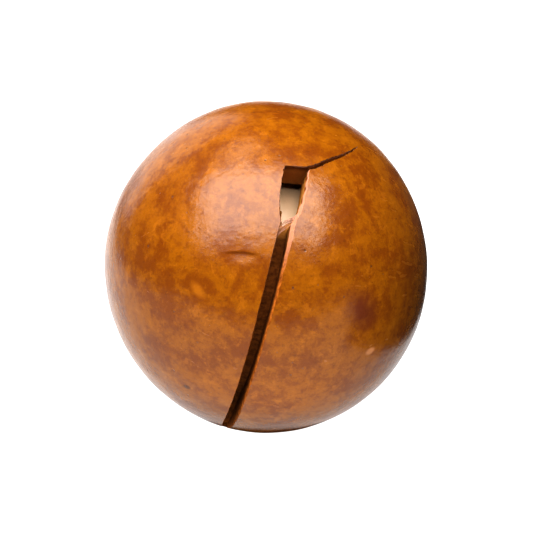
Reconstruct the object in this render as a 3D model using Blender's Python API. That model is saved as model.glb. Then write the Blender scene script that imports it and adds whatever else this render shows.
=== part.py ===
"""Macadamia nut in its shell: a thick round shell, sawn part of the way round, with the kernel loose inside.

Metres, +Z up. The nut rests on z = 0, on a small flat spot centred under it. The sawn slit faces -Y, and +X
is on the right of someone who looks at the slit. A direction from the nut's centre is given as a longitude,
which is 0 at the front (-Y) and grows towards +X, and a latitude above the level of the centre, in degrees.
"""

import math

import bmesh
import bpy
from mathutils import Vector, noise

# Shell
HALF_WIDTH = 0.0120
HALF_DEPTH = 0.0119
HALF_HEIGHT = 0.01235
FLAT_DEPTH = 0.00028  # the height that the flat spot takes off the round underside
LOBE_HEIGHT = 0.00015  # how far the shell is out of round
LOBES_PER_RADIUS = 1.3
SHELL_SUBDIVISIONS = 5
CAVITY_HALF_WIDTH = 0.0090
CAVITY_HALF_HEIGHT = 0.0093
CAVITY_SUBDIVISIONS = 4

# Hilum, the ringed scar where the husk fed the nut, on the right and turned away
HILUM = (112.0, -12.0)
HILUM_RADIUS = 0.0025
HILUM_SINK = 0.00022
HILUM_RIM_HEIGHT = 0.00018
HILUM_RIM_WIDTH = 0.0006

# Pore at the other end, with the short cracks that meet there
PORE = (-100.0, 16.0)
PORE_RADIUS = 0.0009
PORE_SINK = 0.00045
PORE_CRACK_LENGTHS = (0.0034, 0.0019, 0.0027, 0.0022, 0.0038)
PORE_CRACK_START = 0.00035  # their distance from the pore's middle
PORE_CRACK_WIDTH = 0.00017
PORE_CRACK_DEPTH = 0.00055
PORE_CRACK_CUTS = 4
FINE_REACH = 0.0046  # round the hilum and the pore the facets are half the size

# Sawn slit, in a plane that leans to the right at its top. Its angles are in that plane, above the level of
# the centre. Its top is a window that is open to the kernel, and it narrows to a neck under the window.
SLIT_LEAN = 14.1
SLIT_SHIFT = -0.00031  # its plane passes this far to the left of the centre
SLIT_TOP = 58.0
SLIT_TOP_TILT = 1.0  # how much higher the right end of its square top is
SLIT_TOP_INSIDE = 7.8  # the square top leans back: how much higher it is at the cutter's foot,
SLIT_TOP_OUTSIDE = -1.9  # and at the cutter's outer face, than where it leaves the skin
SLIT_WINDOW_FOOT = 41.5
SLIT_WINDOW_FOOT_SLOPE = 3.0
SLIT_FLOOR = 0.0097  # below the window the saw stops this far from the centre, inside the wall
SLIT_RUNOUT = -54.0  # past this angle it rises out of the wall
SLIT_END = -74.0
SLIT_WIDTHS = (
    (58.0, 0.00174),
    (50.0, 0.00178),
    (44.0, 0.00164),
    (40.0, 0.00128),
    (36.0, 0.00074),
    (28.0, 0.00090),
    (10.0, 0.00092),
    (-15.0, 0.00080),
    (-58.0, 0.00074),
    (-74.0, 0.00034),
)
SLIT_CUTS = 43

# Side crack, from the slit's square top end over the right shoulder
CRACK_START = (22.6, 54.1)
CRACK_END = (74.0, 55.2)
CRACK_BOW = 1.3
CRACK_JAG = 0.35
CRACK_JAGS = 2.7
CRACK_WIDTH = 0.00030
CRACK_DEPTH = 0.0019
CRACK_CUTS = 17
CRACK_TIP = 0.00004  # the width at a crack's foot and at its end
CRACK_STEP = 0.01  # share of a crack's length over which its heading is taken

# Nick, a shallow crescent knocked out of the skin on the left of the slit
NICK = (-9.5, 24.3)
NICK_LENGTH = 0.0025
NICK_HEIGHT = 0.00070
NICK_DEPTH = 0.00011
NICK_THICKNESS = 0.00060
NICK_SAG = 0.00016  # its ends lie this much lower than its middle
NICK_SEGMENTS = 20

# Kernel, with its axis from the hilum to the pore
KERNEL_RADIUS = 0.00865
KERNEL_POINT = 0.00022  # the low point at the pore's end
KERNEL_POINT_SPREAD = 26.0
KERNEL_FLATTENING = 0.0004  # at the hilum's end
KERNEL_FLAT_FROM = 0.75  # the share of the way there where half of it is reached
KERNEL_FLAT_SOFTNESS = 0.5
KERNEL_GROOVE = 0.00028  # the line where the two seed leaves meet
KERNEL_GROOVE_WIDTH = 0.0007
KERNEL_CROWDING = 19.0  # how far the meridians crowd towards the groove
KERNEL_MERIDIANS = 32
KERNEL_RINGS = 20
KERNEL_GAP = 0.0003  # under the kernel, where it lies on the shell

CENTRE_HEIGHT = HALF_HEIGHT - FLAT_DEPTH  # of the shell's centre over the floor
CUTTER_OUTSIDE = 0.0140  # cutters reach this far from the centre,
CUTTER_INSIDE = 0.0078  # and this near to it, inside the cavity
MERGE = 1e-7
SHARP_ANGLE = math.radians(35)

# Colour in linear RGB, and roughness
SHELL_FINISH = ((0.42, 0.135, 0.026), 0.38)
KERNEL_FINISH = ((0.86, 0.70, 0.42), 0.5)


def direction(longitude, latitude):
    """The unit vector at a longitude and a latitude."""
    turn, rise = math.radians(longitude), math.radians(latitude)
    return Vector((math.sin(turn) * math.cos(rise), -math.cos(turn) * math.cos(rise), math.sin(rise)))


def step_down(x, edge, width):
    """1 where x is well under edge, 0 where it is well over it, and a smooth step of this width between."""
    share = min(1.0, max(0.0, (edge - x) / width + 0.5))
    return share * share * (3 - 2 * share)


def bump(x, width):
    """1 at x = 0, and falling smoothly to nothing over about twice this width."""
    return math.exp(-((x / width) ** 2))


def between(pairs, x):
    """The value at x on the straight runs between (x, value) pairs, which start from the highest x."""
    for (high, at_high), (low, at_low) in zip(pairs, pairs[1:]):
        if x >= low:
            share = min(1.0, (high - x) / (high - low))
            return at_high + (at_low - at_high) * share
    return pairs[-1][1]


def clear_scene():
    for obj in list(bpy.data.objects):
        bpy.data.objects.remove(obj)


def add_object(name, bm, parent):
    """Turns a closed bmesh into a named object of its parent, with its faces pointing out."""
    bmesh.ops.recalc_face_normals(bm, faces=bm.faces)
    if bm.calc_volume(signed=True) < 0:
        bmesh.ops.reverse_faces(bm, faces=bm.faces)
    mesh = bpy.data.meshes.new(name)
    bm.to_mesh(mesh)
    bm.free()
    obj = bpy.data.objects.new(name, mesh)
    obj.parent = parent
    bpy.context.collection.objects.link(obj)
    return obj


def finish(obj, material_name, colour_and_roughness):
    """Gives an object its material, and shades its round faces smooth."""
    colour, roughness = colour_and_roughness
    material = bpy.data.materials.new(material_name)
    material.use_nodes = True
    shader = material.node_tree.nodes["Principled BSDF"]
    shader.inputs["Base Color"].default_value = (*colour, 1.0)
    shader.inputs["Roughness"].default_value = roughness
    shader.inputs["Metallic"].default_value = 0.0
    obj.data.materials.append(material)
    obj.data.shade_smooth()
    obj.data.set_sharp_from_angle(angle=SHARP_ANGLE)


def cut(obj, cutter):
    """Cuts a closed cutter out of an object, and leaves the cutter itself out of the model."""
    cutter.hide_render = True
    cutter.display_type = "WIRE"
    boolean = obj.modifiers.new(cutter.name, "BOOLEAN")
    boolean.operation = "DIFFERENCE"
    boolean.solver = "EXACT"
    boolean.object = cutter


def bent_blade(name, cuts, place, parent):
    """A thin closed cutter. place(along, side, height) gives the point of each of its vertices.

    along runs from 0 to 1 down the blade's length, side is -1 or 1, and height is 0 at its foot and 1
    outside.
    """
    bm = bmesh.new()
    bmesh.ops.create_cube(bm, size=1.0)
    lengthwise = [e for e in bm.edges if e.verts[0].co.x != e.verts[1].co.x]
    bmesh.ops.subdivide_edges(bm, edges=lengthwise, cuts=cuts, use_grid_fill=True)
    for v in bm.verts:
        v.co = place(v.co.x + 0.5, 2 * v.co.y, v.co.z + 0.5)
    return add_object(name, bm, parent)


def shell_radius(ray):
    """The distance from the centre to the shell's skin along a unit vector."""
    stretch = Vector((ray.x / HALF_WIDTH, ray.y / HALF_DEPTH, ray.z / HALF_HEIGHT)).length
    radius = 1 / stretch + LOBE_HEIGHT * noise.noise(ray * LOBES_PER_RADIUS)
    from_hilum = ray.angle(direction(*HILUM)) * HALF_WIDTH
    radius += HILUM_RIM_HEIGHT * bump(from_hilum - HILUM_RADIUS, HILUM_RIM_WIDTH)
    radius -= HILUM_SINK * step_down(from_hilum, HILUM_RADIUS, HILUM_RIM_WIDTH)
    from_pore = ray.angle(direction(*PORE)) * HALF_WIDTH
    return radius - PORE_SINK * bump(from_pore, PORE_RADIUS)


def refine(bm, ray):
    """Halves the facets of a unit sphere round a direction."""
    reach = FINE_REACH / HALF_WIDTH
    near = [e for e in bm.edges if all(v.co.angle(ray) < reach for v in e.verts)]
    bmesh.ops.subdivide_edges(bm, edges=near, cuts=1)
    bmesh.ops.triangulate(bm, faces=[f for f in bm.faces if len(f.verts) > 3])


def flatten_underside(bm):
    """Cuts the round underside off at the floor, and closes the cut with one flat face."""
    whole = bm.verts[:] + bm.edges[:] + bm.faces[:]
    floor = Vector((0.0, 0.0, -CENTRE_HEIGHT))
    made = bmesh.ops.bisect_plane(
        bm, geom=whole, dist=MERGE, plane_co=floor, plane_no=(0.0, 0.0, -1.0), clear_outer=True
    )
    rim = [e for e in made["geom_cut"] if isinstance(e, bmesh.types.BMEdge)]
    bmesh.ops.contextual_create(bm, geom=rim)


def make_shell(nut):
    """The shell's round form with its two end marks and the flat spot, before anything is cut from it."""
    bm = bmesh.new()
    bmesh.ops.create_icosphere(bm, subdivisions=SHELL_SUBDIVISIONS, radius=1.0)
    for end_mark in (HILUM, PORE):
        refine(bm, direction(*end_mark))
    for v in bm.verts:
        ray = v.co.normalized()
        v.co = ray * shell_radius(ray)
    flatten_underside(bm)
    return add_object("shell", bm, nut)


def cavity_cutter(nut):
    bm = bmesh.new()
    bmesh.ops.create_icosphere(bm, subdivisions=CAVITY_SUBDIVISIONS, radius=1.0)
    bmesh.ops.scale(bm, vec=(CAVITY_HALF_WIDTH, CAVITY_HALF_WIDTH, CAVITY_HALF_HEIGHT), verts=bm.verts)
    return add_object("cavity_cutter", bm, nut)


def slit_cutter(nut):
    """The saw's cut. It is widest and deepest at its top end, and runs out of the wall at its foot."""
    lean = math.radians(SLIT_LEAN)
    up_the_cut = Vector((math.sin(lean), 0.0, math.cos(lean)))
    across = Vector((math.cos(lean), 0.0, -math.sin(lean)))
    forward = direction(0.0, 0.0)

    def place(along, side, height):
        angle = SLIT_TOP + (SLIT_END - SLIT_TOP) * along
        if along == 0:
            angle += SLIT_TOP_TILT * side + (SLIT_TOP_OUTSIDE if height else SLIT_TOP_INSIDE)
        rise = math.radians(angle)
        ray = up_the_cut * math.sin(rise) + forward * math.cos(rise)
        foot = CUTTER_INSIDE + (SLIT_FLOOR - CUTTER_INSIDE) * step_down(
            angle, SLIT_WINDOW_FOOT, SLIT_WINDOW_FOOT_SLOPE
        )
        foot += (HALF_WIDTH - SLIT_FLOOR) * step_down(
            angle, (SLIT_RUNOUT + SLIT_END) / 2, SLIT_RUNOUT - SLIT_END
        )
        offset = SLIT_SHIFT + side * between(SLIT_WIDTHS, angle) / 2
        return ray * (foot + (CUTTER_OUTSIDE - foot) * height) + across * offset

    return bent_blade("slit_cutter", SLIT_CUTS, place, nut)


def crack_cutter(name, cuts, ray_at, width, depth, nut):
    """A wedge that follows ray_at(along) over the shell, and narrows to nothing at its foot and its end."""

    def place(along, side, height):
        ray = ray_at(along)
        across = ray.cross(ray_at(along + CRACK_STEP) - ray_at(along - CRACK_STEP)).normalized()
        left = 1 - along**2
        foot = HALF_WIDTH - max(depth * left, 2 * CRACK_TIP)
        mouth = CRACK_TIP + width * left * (CUTTER_OUTSIDE - foot) / (HALF_WIDTH - foot)
        half = (CRACK_TIP + (mouth - CRACK_TIP) * height) / 2
        return ray * (foot + (CUTTER_OUTSIDE - foot) * height) - across * side * half

    return bent_blade(name, cuts, place, nut)


def side_crack_cutter(nut):
    start, end = CRACK_START, CRACK_END

    def ray_at(along):
        bow = CRACK_BOW * math.sin(math.pi * along) + CRACK_JAG * math.sin(2 * math.pi * CRACK_JAGS * along)
        return direction(start[0] + (end[0] - start[0]) * along, start[1] + (end[1] - start[1]) * along + bow)

    return crack_cutter("side_crack_cutter", CRACK_CUTS, ray_at, CRACK_WIDTH, CRACK_DEPTH, nut)


def pore_crack_cutter(number, length, nut):
    """One of the short cracks that leave the pore, evenly turned round it."""
    pore = direction(*PORE)
    turn = 2 * math.pi * number / len(PORE_CRACK_LENGTHS)
    level = pore.cross(Vector((0.0, 0.0, 1.0))).normalized()
    heading = level * math.cos(turn) + pore.cross(level) * math.sin(turn)

    def ray_at(along):
        angle = (PORE_CRACK_START + length * along) / HALF_WIDTH
        return pore * math.cos(angle) + heading * math.sin(angle)

    name = f"pore_crack_{number}_cutter"
    return crack_cutter(name, PORE_CRACK_CUTS, ray_at, PORE_CRACK_WIDTH, PORE_CRACK_DEPTH, nut)


def nick_cutter(nut):
    ray = direction(*NICK)
    east = Vector((0.0, 0.0, 1.0)).cross(ray).normalized()
    north = ray.cross(east)
    centre_distance = shell_radius(ray) - NICK_DEPTH + NICK_THICKNESS / 2
    bm = bmesh.new()
    bmesh.ops.create_uvsphere(bm, u_segments=NICK_SEGMENTS, v_segments=NICK_SEGMENTS // 2, radius=0.5)
    for v in bm.verts:
        out, along, up = v.co
        drop = NICK_SAG * (2 * along) ** 2
        v.co = (
            ray * (centre_distance + NICK_THICKNESS * out)
            + east * NICK_LENGTH * along
            + north * (NICK_HEIGHT * up - drop)
        )
    return add_object("nick_cutter", bm, nut)


def make_kernel(nut):
    """The kernel, round, with a low point at one end, flattened at the other, and a groove right round it."""
    bm = bmesh.new()
    bmesh.ops.create_uvsphere(bm, u_segments=KERNEL_MERIDIANS, v_segments=KERNEL_RINGS, radius=1.0)
    crowding = math.radians(KERNEL_CROWDING)
    for v in bm.verts:
        from_point = math.acos(max(-1.0, min(1.0, v.co.z)))
        turn = math.atan2(v.co.y, v.co.x)
        turn -= crowding * math.sin(2 * turn)
        spread = math.sin(from_point)
        ray = Vector((spread * math.cos(turn), spread * math.sin(turn), math.cos(from_point)))
        radius = KERNEL_RADIUS + KERNEL_POINT * bump(from_point, math.radians(KERNEL_POINT_SPREAD))
        radius -= KERNEL_FLATTENING * step_down(math.cos(from_point), -KERNEL_FLAT_FROM, KERNEL_FLAT_SOFTNESS)
        radius -= KERNEL_GROOVE * bump(ray.y * KERNEL_RADIUS, KERNEL_GROOVE_WIDTH)
        v.co = ray * radius
    kernel = add_object("kernel", bm, nut)
    kernel.location.z = KERNEL_GAP + KERNEL_RADIUS - CAVITY_HALF_HEIGHT
    axis = direction(*PORE) - direction(*HILUM)
    kernel.rotation_euler = axis.to_track_quat("Z", "Y").to_euler()
    return kernel


def main():
    clear_scene()
    nut = bpy.data.objects.new("nut", None)
    nut.location.z = CENTRE_HEIGHT
    bpy.context.collection.objects.link(nut)

    shell = make_shell(nut)
    cut(shell, cavity_cutter(nut))
    cut(shell, slit_cutter(nut))
    cut(shell, side_crack_cutter(nut))
    cut(shell, nick_cutter(nut))
    for number, length in enumerate(PORE_CRACK_LENGTHS):
        cut(shell, pore_crack_cutter(number, length, nut))
    finish(shell, "woody_shell", SHELL_FINISH)
    finish(make_kernel(nut), "cream_kernel", KERNEL_FINISH)


main()
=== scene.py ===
"""Macadamia nut in its shell, sawn part of the way round, with the kernel loose inside, on a glowing floor.

Metres, +Z up, in the frame of the solids that it dresses. The sawn slit faces -Y. A direction from the nut's
centre is given as a longitude, which is 0 at the front (-Y) and grows towards +X, and a latitude above the
level of the centre, in degrees.
"""

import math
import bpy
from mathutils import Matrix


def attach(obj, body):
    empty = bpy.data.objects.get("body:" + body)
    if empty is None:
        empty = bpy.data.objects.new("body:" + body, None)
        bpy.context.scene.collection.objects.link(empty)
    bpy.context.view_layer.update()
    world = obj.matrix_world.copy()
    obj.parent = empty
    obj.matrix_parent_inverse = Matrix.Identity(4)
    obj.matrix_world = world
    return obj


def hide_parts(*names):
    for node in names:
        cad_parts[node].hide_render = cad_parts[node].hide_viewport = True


bl_info = {
    "name": "Macadamia nut in shell",
    "version": (1, 0, 0),
    "blender": (4, 5, 0),
    "location": "3D View > Sidebar > Macadamia",
    "description": "Makes a sawn macadamia nut with its kernel inside, and a plain stage for it",
    "category": "Object",
}

import bmesh
import bpy
from bpy.props import FloatProperty, FloatVectorProperty, PointerProperty
from mathutils import Matrix, Vector, noise

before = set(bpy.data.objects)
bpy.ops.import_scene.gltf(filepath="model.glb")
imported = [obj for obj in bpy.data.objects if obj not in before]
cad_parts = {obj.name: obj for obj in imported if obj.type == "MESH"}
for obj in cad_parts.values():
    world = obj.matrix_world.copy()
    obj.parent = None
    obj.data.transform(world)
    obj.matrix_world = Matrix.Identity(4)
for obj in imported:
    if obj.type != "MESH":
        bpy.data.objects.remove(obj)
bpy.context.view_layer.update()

# Places on the shell, as longitude and latitude
HILUM = (112.0, -12.0)
PORE = (-100.0, 16.0)
NICK = (-9.5, 24.3)
PALE_FLECK = (41.2, -16.5)
BRUISE = (35.0, 1.0)
DARK_DOT = (-35.0, -32.0)
SMALL_SCUFF = (-25.0, 10.0)

# Fineness of the meshes
SKIN_SUBDIVISIONS = 7
CAVITY_SUBDIVISIONS = 6
FINE_REACH = 0.0042
NICK_REACH = 0.0019
SHARP_ANGLE = math.radians(38)
SLIVER = 1e-6  # narrower faces are dissolved

# Relief of the skin
LOBES_PER_RADIUS = 1.3
DIMPLES_PER_RADIUS = 7.0
HILUM_RIM_WIDTH = 0.0006
HILUM_RIDGES = 26
HILUM_RIDGE_HEIGHT = 0.28  # as a share of the scar's depth
PORE_RADIUS = 0.0009
NICK_HALF_LENGTH = 0.00125
NICK_SAG = 0.00016  # its ends lie this much lower than its middle
NICK_TOP = 0.00010  # from its deepest line up to its sharp upper edge
NICK_SLOPE = 0.00060  # from its deepest line down to where it fades out

# Saw cut: angles in its plane, above the level of the centre, and widths there
SAW_WIDTHS = (
    (58.0, 0.00174),
    (50.0, 0.00178),
    (44.0, 0.00164),
    (40.0, 0.00128),
    (36.0, 0.00074),
    (28.0, 0.00090),
    (10.0, 0.00092),
    (-15.0, 0.00080),
    (-58.0, 0.00074),
    (-74.0, 0.00034),
)
SAW_STEPS = 240
SAW_ROWS = 15
SAW_COLUMNS = 10
SAW_TOP_SHARE = 0.125  # of the cut's length, over which its square top fades out
SAW_TOP_TILT = 1.0  # how much higher the right end of the square top is
SAW_TOP_RISE = 4.4  # how much higher its inner edge is than its outer one
SAW_TOP_ROUGHNESS = 0.5
WINDOW_FOOT_SLOPE = 3.0
WINDOW_FOOT_POINT = 4.5  # how much higher the window ends beside its walls than in its middle
TORN_FROM = 3.0  # the walls start to be torn this much under the window's foot
TORN_FADE = 5.0
TORN_SHOULDER = 0.0018  # height of the wood that stands at the left of the window's foot
TORN_SHOULDER_SIDE = -0.25  # where it falls off, from -1 at the left wall to 1 at the right one
TORN_SHOULDER_FADE = 0.9
TORN_SHOULDER_RISE = 0.5  # from the window's foot up to its middle
TORN_SHOULDER_SPREAD = 2.6
FLOOR_UNEVENNESS = 0.00012
LIP_DEPTH = 0.00013  # of the chipped lip, under the skin
LIP_OVERLAP = 0.00003  # the chipped lip is cut from this far over the skin
RAW_LIP_WIDTHS = (  # of the chipped right lip, at angles of the cut
    (58.0, 0.00006),
    (46.0, 0.00018),
    (37.0, 0.00036),
    (30.0, 0.00030),
    (22.0, 0.00020),
    (8.0, 0.00011),
    (-10.0, 0.00007),
    (-45.0, 0.00005),
    (-60.0, 0.0),
)
OUTSIDE = 0.0140  # cutters reach this far from the centre
INSIDE = 0.0078  # the window's cut starts this far from it, in the hollow

# Cracks
SIDE_CRACK = ((22.6, 54.1), (74.0, 55.2))
SIDE_CRACK_BOW = 1.3
SIDE_CRACK_STEPS = 110
PORE_CRACK_LENGTHS = (0.0034, 0.0019, 0.0027, 0.0022, 0.0038)
PORE_CRACK_START = 0.00035
PORE_CRACK_STEPS = 30
CRACK_ROWS = 6
CRACK_TIP = 0.00004
CRACK_STEP = 0.004  # share of a crack over which its direction is taken
CRACK_UNEVENNESS = 0.35

# Colours that aren't settings
BRUISE_BROWN = (0.050, 0.010, 0.007)
PALE_FLECK_TAN = (0.25, 0.110, 0.042)
# painted shade for the crease under the nick's sharp upper edge
NICK_PAINTED_SHADE = (0.056, 0.013, 0.0005)
SCAR_TAN = (0.23, 0.110, 0.042)
PORE_BROWN = (0.080, 0.023, 0.005)
# painted light that lifts the window's shaded walls to a pale tan
WINDOW_PAINTED_LIGHT = (0.44, 0.200, 0.041)
LINING_TAN = (0.22, 0.11, 0.043)
SKIN_IOR = 1.32
WALL_IOR = 1.15

# Where the cut walls' colours start and end, in millimetres under the skin and in metres over the floor:
# painted shade deeper in the cut, painted light on the window's walls, and a pale lip that is fresh fibre and
# painted highlight
DEEP_SHADE_DEPTHS = (0.2, 1.4)
WINDOW_DEPTHS = (0.4, 1.0)
FRESH_DEPTHS = (0.10, 0.24)
WINDOW_HEIGHTS = (0.0166, 0.0188)
LIT_LIP_HEIGHTS = (0.0150, 0.0190)

# Torn fibres across the neck of the slit
FIBRES = 15
FIBRE_SPAN = (33.6, 37.6)
FIBRE_SLANT = 3.5  # degrees that its right end stands over its middle
FIBRE_SLANT_SPREAD = 4.0
FIBRE_DEPTH = 0.00012  # of the shallowest, under the skin
FIBRE_DEPTH_SPREAD = 0.00050
FIBRE_LAYER = 0.00022  # they lie in three layers, this far apart
FIBRE_ROOT = 0.00015  # their ends reach this far into the walls
FIBRE_BOW = 0.00012
FIBRE_BENDS = 7
FIBRE_SIDES = 7

# Kernel
KERNEL_MERIDIANS = 128
KERNEL_RINGS = 80
KERNEL_CROWDING = 19.0  # how far the meridians crowd towards the groove
KERNEL_POINT_SPREAD = 26.0
KERNEL_FLAT_FROM = 0.75  # the share of the way to its flattened end where half of the flattening is reached
KERNEL_FLAT_SOFTNESS = 0.5
KERNEL_GROOVE_WIDTH = 0.0007
KERNEL_LOBES = 6
KERNEL_LOBE_HEIGHT = 0.00004

# Floor, and the black disc under the nut that stands in for its shadow
FLOOR_RADIUS = 1.5
FLOOR_HEIGHT = -0.00002
SHADE_RADIUS = 0.0050
SHADE_HEIGHT = -0.00001
DISC_SIDES = 96

# Black cards that the camera doesn't see, as their sizes and their middles
DARK_CARDS = {
    "right": ((0.001, 0.060, 0.024), (0.0180, 0.014, 0.0121)),  # upright beside the nut
    "front": ((1.200, 0.500, 0.0002), (0.0, -0.300, 0.0002)),  # flat on the floor
    "left": ((0.500, 0.500, 0.0002), (-0.310, 0.200, 0.0002)),
}

# White card on the floor in front of the nut, as its width and depth, and its middle
BOUNCE_SIZES = (0.044, 0.012)
BOUNCE_PLACE = (-0.004, -0.018, 0.0004)

# Softboxes, as the longitude and latitude that they stand at, their distance, and their width and height
SOFTBOXES = {
    "key": ((-4.0, 62.0), 0.50, (0.84, 0.49)),
    "rim": ((-148.0, 18.0), 0.50, (0.36, 0.45)),
    "crown": ((-135.0, 71.0), 0.50, (0.20, 0.14)),
    "overhead": ((-110.0, 64.0), 0.60, (0.60, 0.60)),
    "side": ((-105.0, 15.0), 0.50, (0.40, 0.30)),
}
FILLS = ("overhead", "side", "bounce")  # the nut doesn't mirror these


def longitude_latitude(place):
    """The unit vector of a (longitude, latitude) in degrees."""
    turn, rise = math.radians(place[0]), math.radians(place[1])
    return Vector((math.sin(turn) * math.cos(rise), -math.cos(turn) * math.cos(rise), math.sin(rise)))


def step_down(x, edge, width):
    """1 where x is well under edge, 0 where it is well over it, and a smooth step of this width between."""
    share = min(1.0, max(0.0, (edge - x) / width + 0.5))
    return share * share * (3 - 2 * share)


def bump(x, width):
    """1 at x = 0, and falling smoothly to nothing over about twice this width."""
    return math.exp(-((x / width) ** 2))


def between(pairs, x):
    """The value at x on the straight runs between (x, value) pairs, which start from the highest x."""
    for (high, at_high), (low, at_low) in zip(pairs, pairs[1:]):
        if x >= low:
            share = max(0.0, min(1.0, (high - x) / (high - low)))
            return at_high + (at_low - at_high) * share
    return pairs[-1][1]


def ripple(x, y, z=0.0):
    """Smooth noise between about -1 and 1."""
    return noise.noise(Vector((x, y, z)))


class ShellSettings(bpy.types.PropertyGroup):
    """Sizes and colours of the shell."""

    half_width: FloatProperty(
        name="Half width", description="From the centre to the skin along X", default=0.0120, unit="LENGTH"
    )
    half_depth: FloatProperty(
        name="Half depth", description="From the centre to the skin along Y", default=0.0119, unit="LENGTH"
    )
    half_height: FloatProperty(
        name="Half height", description="From the centre to the top", default=0.01235, unit="LENGTH"
    )
    flat_depth: FloatProperty(
        name="Flat depth", description="Height that the flat spot takes off", default=0.00028, unit="LENGTH"
    )
    lobe_height: FloatProperty(
        name="Lobe height", description="How far the shell is out of round", default=0.00015, unit="LENGTH"
    )
    dimple_height: FloatProperty(
        name="Dimple height", description="Depth of the skin's soft dimples", default=0.000045, unit="LENGTH"
    )
    cavity_half_width: FloatProperty(
        name="Cavity half width", description="Half width of the hollow", default=0.0090, unit="LENGTH"
    )
    cavity_half_height: FloatProperty(
        name="Cavity half height", description="Half height of the hollow", default=0.0093, unit="LENGTH"
    )
    hilum_radius: FloatProperty(
        name="Hilum radius", description="Radius of the ringed scar", default=0.0025, unit="LENGTH"
    )
    hilum_sink: FloatProperty(
        name="Hilum sink", description="Depth of the scar inside its ring", default=0.00022, unit="LENGTH"
    )
    hilum_rim: FloatProperty(
        name="Hilum rim", description="Height of the scar's ring", default=0.00018, unit="LENGTH"
    )
    pore_sink: FloatProperty(
        name="Pore sink", description="Depth of the pore at the other end", default=0.00045, unit="LENGTH"
    )
    nick_depth: FloatProperty(
        name="Nick depth", description="Depth of the crescent nick", default=0.00006, unit="LENGTH"
    )
    ochre: FloatVectorProperty(
        name="Ochre", description="Bright ground of the skin", subtype="COLOR", default=(0.134, 0.043, 0.0006)
    )
    rust: FloatVectorProperty(
        name="Rust", description="Dark ground of the skin", subtype="COLOR", default=(0.087, 0.0212, 0.0007)
    )
    umber: FloatVectorProperty(
        name="Umber", description="Pores and stains", subtype="COLOR", default=(0.036, 0.0092, 0.0015)
    )
    straw: FloatVectorProperty(
        name="Straw", description="Pale flecks", subtype="COLOR", default=(0.190, 0.066, 0.003)
    )
    raw: FloatVectorProperty(
        name="Raw fibre", description="Broken and sawn wall", subtype="COLOR", default=(0.21, 0.064, 0.007)
    )
    salmon: FloatVectorProperty(
        name="Salmon fibre", description="Freshly torn fibre", subtype="COLOR", default=(0.27, 0.135, 0.090)
    )
    lining: FloatVectorProperty(
        name="Lining", description="Inside of the shell", subtype="COLOR", default=(0.13, 0.043, 0.011)
    )


class SlitSettings(bpy.types.PropertyGroup):
    """Sizes of the sawn slit and the side crack."""

    lean: FloatProperty(
        name="Lean", description="Lean of its top to the right", default=math.radians(14.1), subtype="ANGLE"
    )
    top: FloatProperty(
        name="Top", description="Angle of the square top end", default=math.radians(58.0), subtype="ANGLE"
    )
    window_foot: FloatProperty(
        name="Window foot", description="Angle where it ends", default=math.radians(41.5), subtype="ANGLE"
    )
    runout: FloatProperty(
        name="Run-out", description="Where it starts to rise", default=math.radians(-54.0), subtype="ANGLE"
    )
    end: FloatProperty(
        name="End", description="Angle of the slit's lower end", default=math.radians(-74.0), subtype="ANGLE"
    )
    floor: FloatProperty(
        name="Floor", description="Radius of the slit's floor below the window", default=0.0097, unit="LENGTH"
    )
    shift: FloatProperty(
        name="Shift", description="From the centre right to the cut's plane", default=-0.00031, unit="LENGTH"
    )
    lip: FloatProperty(
        name="Lip", description="Width of the chipped edge", default=0.00007, unit="LENGTH"
    )
    raw_lip: FloatProperty(
        name="Raw lip", description="Width of the chipped right edge, as a share of the usual", default=1.0
    )
    roughness: FloatProperty(
        name="Roughness", description="Relief of the sawn walls", default=0.00003, unit="LENGTH"
    )
    tearing: FloatProperty(
        name="Tearing", description="Relief of the window's torn walls", default=0.00009, unit="LENGTH"
    )
    crack_width: FloatProperty(
        name="Crack width", description="Mouth of the side crack", default=0.00030, unit="LENGTH"
    )
    crack_depth: FloatProperty(
        name="Crack depth", description="Depth of the side crack", default=0.0019, unit="LENGTH"
    )
    pore_crack_width: FloatProperty(
        name="Pore crack width", description="Mouth of the pore's cracks", default=0.00016, unit="LENGTH"
    )
    pore_crack_depth: FloatProperty(
        name="Pore crack depth", description="Depth of the pore's cracks", default=0.0005, unit="LENGTH"
    )
    fibre_thickness: FloatProperty(
        name="Fibre thickness", description="Thickness of the torn fibres", default=0.00009, unit="LENGTH"
    )


class KernelSettings(bpy.types.PropertyGroup):
    """Sizes and colours of the kernel."""

    radius: FloatProperty(
        name="Radius", description="Radius of the kernel", default=0.00865, unit="LENGTH"
    )
    point: FloatProperty(
        name="Point", description="Height of the low point at one end", default=0.00022, unit="LENGTH"
    )
    flattening: FloatProperty(
        name="Flattening", description="Flattening of the other end", default=0.0004, unit="LENGTH"
    )
    groove: FloatProperty(
        name="Groove", description="Depth of the line between the seed leaves", default=0.00028, unit="LENGTH"
    )
    gap: FloatProperty(
        name="Gap", description="Clearance to the shell's inner floor", default=0.0003, unit="LENGTH"
    )
    cream: FloatVectorProperty(
        name="Cream", description="Ground of the kernel", subtype="COLOR", default=(0.45, 0.305, 0.180)
    )
    toast: FloatVectorProperty(
        name="Toast", description="Its faint stains", subtype="COLOR", default=(0.33, 0.19, 0.07)
    )


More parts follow.
